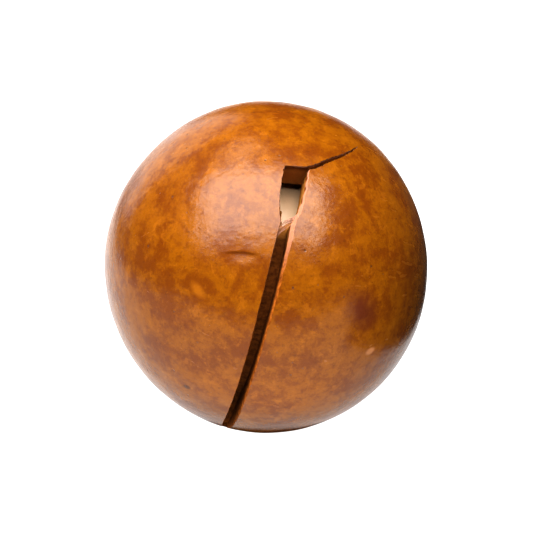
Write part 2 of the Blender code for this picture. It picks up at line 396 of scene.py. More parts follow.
class StageSettings(bpy.types.PropertyGroup):
    """Floor, lights and camera."""

    floor_colour: FloatVectorProperty(
        name="Floor", description="Colour of the floor", subtype="COLOR", default=(0.15, 0.15, 0.15)
    )
    floor_glow: FloatProperty(name="Floor glow", description="Brightness of the light table", default=1.15)
    key_power: FloatProperty(name="Key light", description="Watts of the large light above", default=21.0)
    rim_power: FloatProperty(name="Rim light", description="Watts of the light behind", default=1.1)
    crown_power: FloatProperty(name="Crown light", description="Watts of the small light above", default=0.50)
    overhead_power: FloatProperty(name="Overhead", description="Watts of the fill above", default=3.2)
    side_power: FloatProperty(name="Side light", description="Watts of the fill on the left", default=1.6)
    bounce_power: FloatProperty(name="Bounce", description="Watts from the card in front", default=0.008)
    surround: FloatProperty(name="Surround", description="Brightness of the dim room", default=0.02)
    contrast: FloatProperty(name="Gamma", description="Display gamma; lower gives more contrast", default=0.8)
    elevation: FloatProperty(
        name="Elevation", description="Height of the camera", default=math.radians(20.0), subtype="ANGLE"
    )
    distance: FloatProperty(
        name="Distance", description="From the camera to the nut", default=0.40, unit="LENGTH"
    )
    view_width: FloatProperty(
        name="View width", description="Width of the view at the nut", default=0.0395, unit="LENGTH"
    )


class MacadamiaSettings(bpy.types.PropertyGroup):
    """Everything that a user may change."""

    shell: PointerProperty(type=ShellSettings)
    slit: PointerProperty(type=SlitSettings)
    kernel: PointerProperty(type=KernelSettings)
    stage: PointerProperty(type=StageSettings)


class SkinForm:
    """The skin's distance from the shell's centre in every direction."""

    def __init__(self, shell):
        self.half_sizes = Vector((shell.half_width, shell.half_depth, shell.half_height))
        self.wall = shell.half_width - shell.cavity_half_width
        self.centre = Vector((0.0, 0.0, shell.half_height - shell.flat_depth))
        self.lobe_height = shell.lobe_height
        self.dimple_height = shell.dimple_height
        self.hilum = longitude_latitude(HILUM)
        self.hilum_radius = shell.hilum_radius
        self.hilum_sink = shell.hilum_sink
        self.hilum_rim = shell.hilum_rim
        self.pore = longitude_latitude(PORE)
        self.pore_sink = shell.pore_sink
        self.nick = longitude_latitude(NICK)
        self.nick_east = Vector((0.0, 0.0, 1.0)).cross(self.nick).normalized()
        self.nick_north = self.nick.cross(self.nick_east)
        self.nick_depth = shell.nick_depth

    def radius(self, ray):
        stretch = Vector(a / b for a, b in zip(ray, self.half_sizes)).length
        radius = 1 / stretch + self.lobe_height * noise.noise(ray * LOBES_PER_RADIUS)
        radius -= self.dimple_height * (0.5 + 0.5 * noise.noise(ray * DIMPLES_PER_RADIUS))
        return radius + self.hilum_relief(ray) + self.pore_relief(ray) + self.nick_relief(ray)

    def hilum_relief(self, ray):
        """A raised ring round a sunk scar, whose floor has low ridges that run outwards."""
        away = ray.angle(self.hilum) * self.half_sizes.x
        if away > 2 * self.hilum_radius:
            return 0.0
        inside = step_down(away, self.hilum_radius, HILUM_RIM_WIDTH)
        uneven = 1 + 0.6 * noise.noise(ray * 30) + 0.4 * noise.noise(ray * 70)
        level = self.hilum.cross(Vector((0.0, 0.0, 1.0))).normalized()
        turn = math.atan2(ray.dot(self.hilum.cross(level)), ray.dot(level))
        wander = turn + 0.5 * noise.noise(ray * 40)
        ridges = HILUM_RIDGE_HEIGHT * inside * math.sin(HILUM_RIDGES * wander)
        ridges *= min(1.0, away / self.hilum_radius)
        rim = self.hilum_rim * bump(away - self.hilum_radius, HILUM_RIM_WIDTH) * uneven
        depth = 1 + ridges + 0.5 * noise.noise(ray * 45) + 0.35 * noise.noise(ray * 110)
        return rim - self.hilum_sink * inside * depth

    def pore_relief(self, ray):
        away = ray.angle(self.pore) * self.half_sizes.x
        return -self.pore_sink * bump(away, PORE_RADIUS)

    def nick_relief(self, ray):
        """A crescent with a sharp upper edge and a slope that fades out below."""
        along = ray.dot(self.nick_east) * self.half_sizes.x / NICK_HALF_LENGTH
        if abs(along) >= 1 or ray.dot(self.nick) < 0:
            return 0.0
        up = ray.dot(self.nick_north) * self.half_sizes.x + NICK_SAG * along**2
        width = NICK_TOP if up > 0 else NICK_SLOPE
        return -self.nick_depth * (1 - along**2) * bump(up, width)

    def point(self, ray, depth=0.0):
        """The point this deep under the skin."""
        return self.centre + ray * (self.radius(ray) - depth)

    def depth(self, point):
        """How deep a point lies under the skin."""
        arm = point - self.centre
        return self.radius(arm.normalized()) - arm.length


class SawCut:
    """The plane that the slit is sawn in."""

    def __init__(self, slit):
        self.up = Vector((math.sin(slit.lean), 0.0, math.cos(slit.lean)))
        self.across = Vector((math.cos(slit.lean), 0.0, -math.sin(slit.lean)))
        self.forward = longitude_latitude((0.0, 0.0))
        self.shift = slit.shift

    def ray(self, angle):
        rise = math.radians(angle)
        return self.up * math.sin(rise) + self.forward * math.cos(rise)


def refine(bm, ray, reach, radius):
    """Halves the facets of a unit sphere round a direction."""
    near = [e for e in bm.edges if all(v.co.angle(ray) * radius < reach for v in e.verts)]
    bmesh.ops.subdivide_edges(bm, edges=near, cuts=1)
    bmesh.ops.triangulate(bm, faces=[f for f in bm.faces if len(f.verts) > 3])


def flatten_underside(bm):
    """Cuts the round underside off at the floor, and closes the cut with one flat face."""
    whole = bm.verts[:] + bm.edges[:] + bm.faces[:]
    made = bmesh.ops.bisect_plane(
        bm, geom=whole, dist=1e-7, plane_co=(0.0, 0.0, 0.0), plane_no=(0.0, 0.0, -1.0), clear_outer=True
    )
    rim = [e for e in made["geom_cut"] if isinstance(e, bmesh.types.BMEdge)]
    bmesh.ops.contextual_create(bm, geom=rim)


def add_object(name, bm, materials):
    """Turns a bmesh into a named object with these materials."""
    mesh = bpy.data.meshes.new(name)
    bm.to_mesh(mesh)
    bm.free()
    for material in materials:
        mesh.materials.append(material)
    obj = bpy.data.objects.new(name, mesh)
    bpy.context.scene.collection.objects.link(obj)
    return obj


def shade_round(obj):
    obj.data.shade_smooth()
    obj.data.set_sharp_from_angle(angle=SHARP_ANGLE)


def edges_along(bm, axis):
    """The edges of a box of straight edges that run along one axis."""
    return [e for e in bm.edges if abs(e.verts[0].co[axis] - e.verts[1].co[axis]) > 1e-6]


def bent_blade(name, counts, place, material):
    """A closed cutter, bent out of a box with counts = (steps, columns, rows).

    place(along, side, row) gives the point of each vertex: along runs from 0 to 1, side from -1 to 1, and row
    from 0 at the foot to rows at the top.
    """
    bm = bmesh.new()
    bmesh.ops.create_cube(bm, size=1.0)
    for axis, count in enumerate(counts):
        bmesh.ops.subdivide_edges(bm, edges=edges_along(bm, axis), cuts=count - 1, use_grid_fill=True)
    for v in bm.verts:
        v.co = place(v.co.x + 0.5, 2 * v.co.y, round((v.co.z + 0.5) * counts[2]))
    bmesh.ops.recalc_face_normals(bm, faces=bm.faces)
    if bm.calc_volume(signed=True) < 0:
        bmesh.ops.reverse_faces(bm, faces=bm.faces)
    return add_object(name, bm, [material])


def slit_blade(slit, form, material):
    """The saw cut, with rough walls, chipped lips, and a window at its top that reaches the hollow."""
    saw = SawCut(slit)
    top, end = math.degrees(slit.top), math.degrees(slit.end)
    window_foot, runout = math.degrees(slit.window_foot), math.degrees(slit.runout)
    lip_row, skin_row = SAW_ROWS - 2, SAW_ROWS - 1

    def foot_radius(angle, side):
        """The floor: open to the hollow in the window, whose foot is a point beside a shoulder of wood."""
        ragged = 1 + 0.5 * ripple(side * 4.0, 2.5)
        window_end = window_foot + WINDOW_FOOT_POINT * (abs(side) - 0.5) * ragged
        foot = INSIDE + (slit.floor - INSIDE) * step_down(angle, window_end, WINDOW_FOOT_SLOPE)
        shoulder = step_down(side, TORN_SHOULDER_SIDE, TORN_SHOULDER_FADE)
        shoulder *= bump(angle - window_foot - TORN_SHOULDER_RISE, TORN_SHOULDER_SPREAD)
        foot += TORN_SHOULDER * shoulder * (1 + 0.4 * ripple(angle * 0.8, side * 3.0))
        risen = step_down(angle, (runout + end) / 2, runout - end)
        uneven = FLOOR_UNEVENNESS * ripple(angle * 0.5, 3.0)
        uneven *= step_down(angle, window_foot, WINDOW_FOOT_SLOPE)
        return foot + (form.half_sizes.x - slit.floor) * risen + uneven

    def lip_width(angle, side):
        chips = 0.9 + 0.6 * ripple(angle * 0.30, side * 5.0) + 0.4 * ripple(angle * 1.1, side * 5.0)
        lip = slit.lip * chips
        if side > 0:
            lip += slit.raw_lip * between(RAW_LIP_WIDTHS, angle) * (0.95 + 0.4 * ripple(angle * 0.25, 9.0))
        return max(0.0, lip)

    def place(along, side, row):
        square = max(0.0, 1 - along / SAW_TOP_SHARE)
        angle = top + (end - top) * along + SAW_TOP_TILT * side * square
        angle += SAW_TOP_ROUGHNESS * ripple(side * 1.5, row * 0.5) * max(0.0, 1 - SAW_STEPS * along)
        skin = form.radius(saw.ray(angle))
        foot = foot_radius(angle, side)
        if row <= lip_row:
            radius = foot + max(0.0, skin - LIP_DEPTH - foot) * row / lip_row
        else:
            radius = skin + LIP_OVERLAP if row == skin_row else OUTSIDE
        angle += SAW_TOP_RISE * square * (skin - radius) / form.wall
        ray = saw.ray(angle)
        torn = 1 - step_down(angle, window_foot - TORN_FROM, TORN_FADE)
        relief = slit.roughness + (slit.tearing - slit.roughness) * torn
        tears = ripple(angle * 0.45, radius * 900, side * 3) + 0.5 * ripple(angle, radius * 2600, side * 3)
        half = between(SAW_WIDTHS, angle) / 2 + relief * tears * min(row, lip_row) / lip_row
        if row > lip_row:
            half += lip_width(angle, side)
        return form.centre + ray * radius + saw.across * (saw.shift + side * half)

    return bent_blade("slit_blade", (SAW_STEPS, SAW_COLUMNS, SAW_ROWS), place, material)


def crack_blade(name, steps, ray_at, width, depth, form, material):
    """A wedge that follows ray_at(along) over the shell, and narrows to nothing at its foot and its end."""

    def place(along, side, row):
        ray = ray_at(along)
        across = ray.cross(ray_at(along + CRACK_STEP) - ray_at(along - CRACK_STEP)).normalized()
        left = 1 - along**2
        skin = form.radius(ray)
        foot = skin - max(depth * left, 2 * CRACK_TIP)
        share = row / (CRACK_ROWS - 1)
        radius = foot + (skin - foot) * share if row < CRACK_ROWS else OUTSIDE
        uneven = 1 + CRACK_UNEVENNESS * ripple(along * steps * 0.25, row, side * 4)
        half = (CRACK_TIP + width * left * share * uneven) / 2
        return form.centre + ray * radius - across * side * half

    return bent_blade(name, (steps, 1, CRACK_ROWS), place, material)


def side_crack_blade(slit, form, material):
    (start_longitude, start_latitude), (end_longitude, end_latitude) = SIDE_CRACK

    def ray_at(along):
        bow = SIDE_CRACK_BOW * math.sin(math.pi * along)
        jag = 0.45 * ripple(along * 9, 1.3) + 0.3 * ripple(along * 27, 5.1)
        latitude = start_latitude + (end_latitude - start_latitude) * along + bow + jag
        return longitude_latitude((start_longitude + (end_longitude - start_longitude) * along, latitude))

    widths = (slit.crack_width, slit.crack_depth)
    return crack_blade("side_crack_blade", SIDE_CRACK_STEPS, ray_at, *widths, form, material)


def pore_crack_blade(number, slit, form, material):
    """One of the short cracks that leave the pore, evenly turned round it."""
    turn = 2 * math.pi * number / len(PORE_CRACK_LENGTHS)
    level = form.pore.cross(Vector((0.0, 0.0, 1.0))).normalized()
    heading = level * math.cos(turn) + form.pore.cross(level) * math.sin(turn)
    sideways = form.pore.cross(heading)

    def ray_at(along):
        angle = (PORE_CRACK_START + PORE_CRACK_LENGTHS[number] * along) / form.half_sizes.x
        jag = 0.010 * ripple(along * 5, number * 7.0) + 0.004 * ripple(along * 16, number * 7.0)
        return (form.pore * math.cos(angle) + heading * math.sin(angle) + sideways * jag).normalized()

    widths = (slit.pore_crack_width, slit.pore_crack_depth)
    name = f"pore_crack_{number}_blade"
    return crack_blade(name, PORE_CRACK_STEPS, ray_at, *widths, form, material)


def cut_away(obj, cutters):
    """Cuts closed cutters out of an object one after the other, keeps their materials, and removes them."""
    for cutter in cutters:
        boolean = obj.modifiers.new(cutter.name, "BOOLEAN")
        boolean.operation = "DIFFERENCE"
        boolean.solver = "MANIFOLD"
        boolean.material_mode = "TRANSFER"
        boolean.object = cutter
    graph = bpy.context.evaluated_depsgraph_get()
    mesh = bpy.data.meshes.new_from_object(obj.evaluated_get(graph))
    obj.modifiers.clear()
    obj.data = mesh
    for cutter in cutters:
        bpy.data.objects.remove(cutter)


def drop_slivers(obj):
    """Dissolves the faces without area that the cuts leave where they meet the skin."""
    bm = bmesh.new()
    bm.from_mesh(obj.data)
    bmesh.ops.triangulate(bm, faces=bm.faces)
    bmesh.ops.dissolve_degenerate(bm, dist=SLIVER, edges=bm.edges)
    bm.to_mesh(obj.data)
    bm.free()


def store_depth(obj, form):
    """Keeps how deep each vertex lies under the skin, in millimetres, for the walls' colours."""
    depths = obj.data.attributes.new("depth", "FLOAT", "POINT")
    depths.data.foreach_set("value", [form.depth(v.co) * 1000 for v in obj.data.vertices])


class Wire:
    """A value in a material. Arithmetic on it adds Math nodes there."""

    def __init__(self, finish, socket):
        self.finish = finish
        self.socket = socket

    def math(self, operation, *values):
        node = self.finish.add("ShaderNodeMath", {"operation": operation}, dict(enumerate(values)))
        return Wire(self.finish, node.outputs[0])

    def __add__(self, other):
        return self.math("ADD", self, other)

    def __sub__(self, other):
        return self.math("SUBTRACT", self, other)

    def __rsub__(self, other):
        return self.math("SUBTRACT", other, self)

    def __mul__(self, other):
        return self.math("MULTIPLY", self, other)

    def __truediv__(self, other):
        return self.math("DIVIDE", self, other)

    __radd__ = __add__
    __rmul__ = __mul__


class Finish:
    """One material in the making."""

    def __init__(self, name):
        self.material = bpy.data.materials.new(name)
        self.material.use_nodes = True
        self.tree = self.material.node_tree
        self.tree.nodes.clear()
        self.place = Wire(self, self.add("ShaderNodeTexCoord").outputs["Object"])

    def add(self, kind, settings=None, sockets=None):
        """Adds a node: its settings first, then a value or a wire for each socket named."""
        node = self.tree.nodes.new(kind)
        for name, value in (settings or {}).items():
            setattr(node, name, value)
        for key, value in (sockets or {}).items():
            if isinstance(value, Wire):
                self.tree.links.new(value.socket, node.inputs[key])
            else:
                node.inputs[key].default_value = value
        return node

    def noise(self, scale, detail=2.0, roughness=0.5, place=None):
        sockets = {"Vector": place or self.place, "Scale": scale, "Detail": detail, "Roughness": roughness}
        return Wire(self, self.add("ShaderNodeTexNoise", sockets=sockets).outputs[0])

    def cells(self, scale, place=None):
        """The distance to the nearest of many scattered points, and a random value for each point."""
        node = self.add("ShaderNodeTexVoronoi", sockets={"Vector": place or self.place, "Scale": scale})
        parts = self.add("ShaderNodeSeparateColor", sockets={0: Wire(self, node.outputs["Color"])})
        return Wire(self, node.outputs["Distance"]), Wire(self, parts.outputs[0])

    def ease(self, value, low, high):
        """0 at low and 1 at high, smoothly."""
        settings = {"interpolation_type": "SMOOTHSTEP"}
        sockets = {"Value": value, "From Min": low, "From Max": high}
        return Wire(self, self.add("ShaderNodeMapRange", settings, sockets).outputs[0])

    def mix(self, share, first, second):
        """A colour between two colours."""
        first, second = (c if isinstance(c, Wire) else (*c, 1.0) for c in (first, second))
        sockets = {0: share, 6: first, 7: second}
        return Wire(self, self.add("ShaderNodeMix", {"data_type": "RGBA"}, sockets).outputs[2])

    def seen_from(self, point, ray, sizes=(1.0, 1.0, 1.0), spin=0.0):
        """The place as measured from a point, with Z along a ray and in units of these sizes."""
        turn = ray.to_track_quat("Z", "Y").to_matrix() @ Matrix.Rotation(spin, 3, "Z")
        sockets = {"Vector": self.place, "Location": point, "Rotation": turn.to_euler(), "Scale": sizes}
        return Wire(self, self.add("ShaderNodeMapping", {"vector_type": "TEXTURE"}, sockets).outputs[0])

    def stirred(self, place, scale, amount):
        """A place moved about by up to this amount."""
        stir = self.add("ShaderNodeTexNoise", sockets={"Vector": self.place, "Scale": scale, "Detail": 2.0})
        sockets = {0: Wire(self, stir.outputs["Color"]), 1: (amount, amount, amount), 2: place}
        node = self.add("ShaderNodeVectorMath", {"operation": "MULTIPLY_ADD"}, sockets)
        return Wire(self, node.outputs["Vector"])

    def length(self, vector):
        node = self.add("ShaderNodeVectorMath", {"operation": "LENGTH"}, {0: vector})
        return Wire(self, node.outputs["Value"])

    def spot(self, point, ray, sizes, spin, edge):
        """1 inside an oval round a point of the surface, and 0 outside it."""
        return 1 - self.ease(self.length(self.seen_from(point, ray, sizes, spin)), 1 - edge, 1 + edge)

    def meridians(self, point, ray, across, along):
        """A place that changes fast across the meridians of a ray through a point, and slowly along them."""
        parts = self.add("ShaderNodeSeparateXYZ", sockets={0: self.seen_from(point, ray)})
        x, y, z = (Wire(self, socket) for socket in parts.outputs)
        square = x * x + y * y
        radius = square.math("SQRT", square)
        turned = radius.math("ARCTAN2", radius, z)
        sockets = {0: x / radius * across, 1: y / radius * across, 2: turned * along}
        return Wire(self, self.add("ShaderNodeCombineXYZ", sockets=sockets).outputs[0])

    def height(self):
        """The height over the floor, in metres."""
        return Wire(self, self.add("ShaderNodeSeparateXYZ", sockets={0: self.place}).outputs[2])

    def attribute(self, name):
        return Wire(self, self.add("ShaderNodeAttribute", {"attribute_name": name}).outputs["Fac"])

    def relief(self, height, distance, below=None):
        """The normal of a surface with this height, in units of a distance in metres."""
        sockets = {"Height": height, "Distance": distance, "Strength": 1.0}
        if below:
            sockets["Normal"] = below
        return Wire(self, self.add("ShaderNodeBump", sockets=sockets).outputs[0])

    def surface(self, sockets):
        """Ends the material with its shader."""
        shader = self.add("ShaderNodeBsdfPrincipled", sockets=sockets)
        self.add("ShaderNodeOutputMaterial", sockets={"Surface": Wire(self, shader.outputs[0])})
        return self.material


def mottled_ground(skin, shell, mottle, grain):
    """Ochre clouded with rust, with straw between the clouds and umber in the grain."""
    cloud = skin.noise(360, 6.0, 0.72, skin.stirred(skin.place, 500, 0.0008))
    colour = skin.mix(skin.ease(cloud, 0.45, 0.61) * 0.85, shell.ochre, shell.rust)
    colour = skin.mix(skin.ease(mottle, 0.48, 0.64) * 0.65, colour, shell.rust)
    colour = skin.mix((1 - skin.ease(mottle, 0.34, 0.46)) * 0.45, colour, shell.straw)
    return skin.mix(skin.ease(grain, 0.52, 0.74) * 0.35, colour, shell.umber)


def pale_flecks(skin, form):
    """Where the pale flecks lie: short streaks that run to the hilum, and are thickest near it."""
    meridians = skin.meridians(form.centre, form.hilum, 30.0, 8.0)
    streak, streak_pick = skin.cells(1.0, skin.stirred(meridians, 1400, 1.1))
    near_hilum = 1 - skin.ease(skin.length(skin.seen_from(form.point(form.hilum), form.hilum)), 0.003, 0.017)
    return (1 - skin.ease(streak, 0.08, 0.45)) * skin.ease(streak_pick + near_hilum * 0.40, 0.92, 1.04)


def with_marks(skin, shell, form, colour):
    """The colour with the skin's few single marks on it, and painted shade in the crease of the nick."""
    for place, sizes, spin, edge, strength, tint in (
        (BRUISE, (0.0011, 0.0015, 0.004), 0.6, 0.80, 0.55, BRUISE_BROWN),
        (PALE_FLECK, (0.00040, 0.00028, 0.002), 0.2, 0.45, 0.80, PALE_FLECK_TAN),
        (DARK_DOT, (0.00030, 0.00022, 0.002), 0.0, 0.45, 0.80, shell.umber),
        # painted shade along the nick's upper edge, where its steep wall faces down
        (NICK, (0.0012, 0.00013, 0.002), 0.0, 0.60, 0.65, NICK_PAINTED_SHADE),
        (SMALL_SCUFF, (0.00034, 0.00060, 0.002), 0.8, 0.70, 0.70, shell.straw),
    ):
        ray = longitude_latitude(place)
        mark = skin.spot(form.point(ray), ray, sizes, spin, edge)
        colour = skin.mix(mark * strength, colour, tint)
    return colour


def with_scars(skin, shell, form, mottle, colour):
    """The colour with the hilum's tan scar, its dark ring and the pore on it, and where the scar lies."""
    from_hilum = skin.length(skin.seen_from(form.point(form.hilum), form.hilum)) / shell.hilum_radius
    scar = 1 - skin.ease(from_hilum, 0.80, 1.02)
    ring = skin.ease(from_hilum, 0.66, 0.92) * (1 - skin.ease(from_hilum, 0.92, 1.14))
    colour = skin.mix(scar * (0.45 + mottle * 0.5), colour, SCAR_TAN)
    colour = skin.mix(ring * 0.75, colour, shell.umber)
    from_pore = skin.length(skin.seen_from(form.point(form.pore), form.pore)) / PORE_RADIUS
    return skin.mix((1 - skin.ease(from_pore, 0.4, 1.3)) * 0.8, colour, PORE_BROWN), scar


def skin_finish(shell, form):
    """Satin woody skin: mottled ochre and rust, with dark pores and pale flecks that run to the hilum."""
    skin = Finish("macadamia_skin")
    mottle = skin.noise(1100, 6.0, 0.72, skin.stirred(skin.place, 900, 0.0007))
    grain = skin.noise(3800, 4.0, 0.65)
    fleck = pale_flecks(skin, form)
    dot, dot_pick = skin.cells(1050)
    pore = (1 - skin.ease(dot, 0.04, 0.14)) * skin.ease(dot_pick, 0.55, 1.0)
    colour = skin.mix(fleck * 0.38, mottled_ground(skin, shell, mottle, grain), shell.straw)
    colour = skin.mix(pore * 0.80, colour, shell.umber)
    colour = with_marks(skin, shell, form, colour)
    colour, scar = with_scars(skin, shell, form, mottle, colour)

    worn = scar + fleck * 0.4 + pore * 0.6
    matt = worn.math("MINIMUM", worn, 1.0)
    roughness = 0.19 + mottle * 0.10 + matt * 0.25
    orange_peel = skin.relief(skin.noise(1300, 2.0, 0.5), 0.000030)
    fine = skin.relief(grain + pore * -1.2 + fleck * -0.15, 0.000014, orange_peel)
    return skin.surface({"Base Color": colour, "Roughness": roughness, "Normal": fine, "IOR": SKIN_IOR})


def wall_finish(shell):
    """Raw fibre of the sawn and broken wall, streaked brown; painted shade darkens it deeper in the cut,
    painted light makes the window's walls tan, and the pale salmon lip is fresh fibre kept to the lit upper
    part as a painted highlight.
    """
    wall = Finish("macadamia_raw_wall")
    depth, height = wall.attribute("depth"), wall.height()
    strands = wall.noise(2600, 4.0, 0.7)
    colour = wall.mix(wall.ease(strands, 0.35, 0.70), shell.raw, shell.rust)
    # painted shade: the wall turns umber the deeper it lies under the skin, as shade falls in the cut
    colour = wall.mix(wall.ease(depth, *DEEP_SHADE_DEPTHS) * 0.50, colour, shell.umber)
    # painted light: the window's walls, its shaded end wall with them, are made pale tan
    window = wall.ease(height, *WINDOW_HEIGHTS) * wall.ease(depth, *WINDOW_DEPTHS)
    colour = wall.mix(window * 0.85, colour, WINDOW_PAINTED_LIGHT)
    # pale salmon lip: fresh torn fibre, kept to the upper part where light falls, as a painted highlight
    fresh_lip_and_highlight = (1 - wall.ease(depth, *FRESH_DEPTHS)) * (0.40 + strands * 0.6) * wall.ease(height, *LIT_LIP_HEIGHTS)
    colour = wall.mix(fresh_lip_and_highlight, colour, shell.salmon)
    normal = wall.relief(strands, 0.00010)
    roughness = 0.72 + strands * 0.2
    return wall.surface({"Base Color": colour, "Roughness": roughness, "Normal": normal, "IOR": WALL_IOR})


def fibre_finish(shell):
    """Pale salmon strands of freshly torn fibre."""
    fibre = Finish("macadamia_torn_fibre")
    strands = fibre.noise(3000, 3.0, 0.6)
    colour = fibre.mix(fibre.ease(strands, 0.35, 0.70) * 0.6, shell.salmon, shell.raw)
    return fibre.surface({"Base Color": colour, "Roughness": 0.70, "Normal": fibre.relief(strands, 0.00005)})


def lining_finish(shell):
    """Smooth brown lining of the hollow, blotched with paler tan."""
    lining = Finish("macadamia_lining")
    cloud = lining.noise(300, 4.0, 0.6)
    grain = lining.noise(2400, 3.0, 0.6)
    colour = lining.mix(lining.ease(cloud, 0.42, 0.62), shell.lining, LINING_TAN)
    colour = lining.mix(lining.ease(grain, 0.5, 0.8) * 0.4, colour, shell.rust)
    normal = lining.relief(grain, 0.00004)
    return lining.surface({"Base Color": colour, "Roughness": 0.45 + grain * 0.15, "Normal": normal})


def kernel_finish(kernel):
    """Waxy cream flesh with faint toasted stains and fine pits."""
    flesh = Finish("macadamia_kernel_flesh")
    cloud = flesh.noise(220, 4.0, 0.55)
    grain = flesh.noise(2600, 3.0, 0.6)
    dot, dot_pick = flesh.cells(800)
    pit = (1 - flesh.ease(dot, 0.08, 0.20)) * flesh.ease(dot_pick, 0.6, 0.7)
    colour = flesh.mix(flesh.ease(cloud, 0.55, 0.80) * 0.30, kernel.cream, kernel.toast)
    colour = flesh.mix(flesh.ease(grain, 0.5, 0.8) * 0.15, colour, kernel.toast)
    colour = flesh.mix(pit * 0.35, colour, kernel.toast)
    normal = flesh.relief(grain + pit * -1.0 + cloud, 0.00002)
    return flesh.surface({"Base Color": colour, "Roughness": 0.40 + grain * 0.12, "Normal": normal})


def dress(piece, node):
    """Puts a piece on the nut, in place of a solid."""
    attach(piece, "root")
    if node:
        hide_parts(node)


class MACADAMIA_OT_shell(bpy.types.Operator):
    """Make the shell: mottled skin, thick wall, sawn slit with its window, cracks, nick and scars"""

    bl_idname = "macadamia.shell"
    bl_label = "Make the shell"

    def execute(self, context):
        settings = context.scene.macadamia
        form = SkinForm(settings.shell)
        wall = wall_finish(settings.shell)
        shell = add_object(
            "macadamia_shell",
            self.skin_and_hollow(settings.shell, form),
            [skin_finish(settings.shell, form), lining_finish(settings.shell)],
        )
        blades = [slit_blade(settings.slit, form, wall), side_crack_blade(settings.slit, form, wall)]
        blades += [pore_crack_blade(n, settings.slit, form, wall) for n in range(len(PORE_CRACK_LENGTHS))]
        cut_away(shell, blades)
        drop_slivers(shell)
        store_depth(shell, form)
        shade_round(shell)
        dress(shell, "shell")
        return {"FINISHED"}

    def skin_and_hollow(self, shell, form):
        bm = bmesh.new()
        bmesh.ops.create_icosphere(bm, subdivisions=SKIN_SUBDIVISIONS, radius=1.0)
        refine(bm, form.hilum, FINE_REACH, shell.half_width)
        refine(bm, form.pore, FINE_REACH, shell.half_width)
        for _ in range(2):
            refine(bm, form.nick, NICK_REACH, shell.half_width)
        for v in bm.verts:
            v.co = form.point(v.co.normalized())
        flatten_underside(bm)
        hollow = bmesh.ops.create_icosphere(bm, subdivisions=CAVITY_SUBDIVISIONS, radius=1.0)["verts"]
        sizes = Vector((shell.cavity_half_width, shell.cavity_half_width, shell.cavity_half_height))
        bmesh.ops.scale(bm, vec=sizes, verts=hollow)
        bmesh.ops.translate(bm, vec=form.centre, verts=hollow)
        faces = list({f for v in hollow for f in v.link_faces})
        bmesh.ops.reverse_faces(bm, faces=faces)
        for face in faces:
            face.material_index = 1
        return bm


class MACADAMIA_OT_fibres(bpy.types.Operator):
    """Make the torn fibres that still cross the neck of the slit"""

    bl_idname = "macadamia.fibres"
    bl_label = "Make the torn fibres"

    def execute(self, context):
        settings = context.scene.macadamia
        form = SkinForm(settings.shell)
        saw = SawCut(settings.slit)
        bm = bmesh.new()
        for number in range(FIBRES):
            self.add_fibre(bm, number, settings.slit, form, saw)
        fibres = add_object("torn_fibres", bm, [fibre_finish(settings.shell)])
        shade_round(fibres)
        dress(fibres, None)
        return {"FINISHED"}

    def add_fibre(self, bm, number, slit, form, saw):
        """One strand from wall to wall, thin in its middle, slanted and bent by its number."""
        share = (number + 0.5) / FIBRES
        low, high = FIBRE_SPAN
        angle = low + (high - low) * share
        slant = FIBRE_SLANT + FIBRE_SLANT_SPREAD * ripple(number * 3.7, 0.5)
        depth = FIBRE_DEPTH + FIBRE_DEPTH_SPREAD * abs(ripple(number * 2.3, 4.5)) + FIBRE_LAYER * (number % 3)
        thickness = slit.fibre_thickness * (0.75 + 0.8 * abs(ripple(number * 1.9, 8.5)))
        strand = bmesh.new()
        bmesh.ops.create_cone(
            strand, segments=FIBRE_SIDES, radius1=1.0, radius2=1.0, depth=1.0, cap_ends=True, cap_tris=False
        )
        bmesh.ops.subdivide_edges(strand, edges=edges_along(strand, 2), cuts=FIBRE_BENDS)
        for v in strand.verts:
            side = 2 * v.co.z
            here = angle + slant * side
            ray = saw.ray(here)
            half = between(SAW_WIDTHS, here) / 2 + FIBRE_ROOT
            bow = FIBRE_BOW * ripple(number * 5.1, side * 1.2)
            thin = thickness / 2 * (0.55 + 0.45 * side**2)
            up = saw.ray(here + 90)
            v.co = (
                form.point(ray, depth + bow)
                + saw.across * (saw.shift + side * half)
                + (ray * v.co.x + up * v.co.y) * thin
            )
        bmesh.ops.recalc_face_normals(strand, faces=strand.faces)
        mesh = bpy.data.meshes.new("strand")
        strand.to_mesh(mesh)
        strand.free()
        bm.from_mesh(mesh)
        bpy.data.meshes.remove(mesh)


class MACADAMIA_OT_kernel(bpy.types.Operator):
    """Make the kernel: round and waxy, with a low point, a flattened end and a groove round it"""

    bl_idname = "macadamia.kernel"
    bl_label = "Make the kernel"

    def execute(self, context):
        settings = context.scene.macadamia
        size = settings.kernel
        form = SkinForm(settings.shell)
        axis = form.pore - form.hilum
        turn = axis.to_track_quat("Z", "Y").to_matrix()
        rest = Vector((0.0, 0.0, form.centre.z + size.gap + size.radius - settings.shell.cavity_half_height))
        crowding = math.radians(KERNEL_CROWDING)
        bm = bmesh.new()
        bmesh.ops.create_uvsphere(bm, u_segments=KERNEL_MERIDIANS, v_segments=KERNEL_RINGS, radius=1.0)
        for v in bm.verts:
            from_point = math.acos(max(-1.0, min(1.0, v.co.z)))
            round_axis = math.atan2(v.co.y, v.co.x)
            round_axis -= crowding * math.sin(2 * round_axis)
            spread = math.sin(from_point)
            ray = Vector((spread * math.cos(round_axis), spread * math.sin(round_axis), math.cos(from_point)))
            v.co = rest + turn @ (ray * self.kernel_radius(ray, from_point, size))
        kernel = add_object("macadamia_kernel", bm, [kernel_finish(size)])
        shade_round(kernel)
        dress(kernel, "kernel")
        return {"FINISHED"}

    def kernel_radius(self, ray, from_point, size):
        radius = size.radius + size.point * bump(from_point, math.radians(KERNEL_POINT_SPREAD))
        radius -= size.flattening * step_down(ray.z, -KERNEL_FLAT_FROM, KERNEL_FLAT_SOFTNESS)
        radius -= size.groove * bump(ray.y * size.radius, KERNEL_GROOVE_WIDTH)
        return radius - KERNEL_LOBE_HEIGHT * (1 + noise.noise(ray * KERNEL_LOBES))


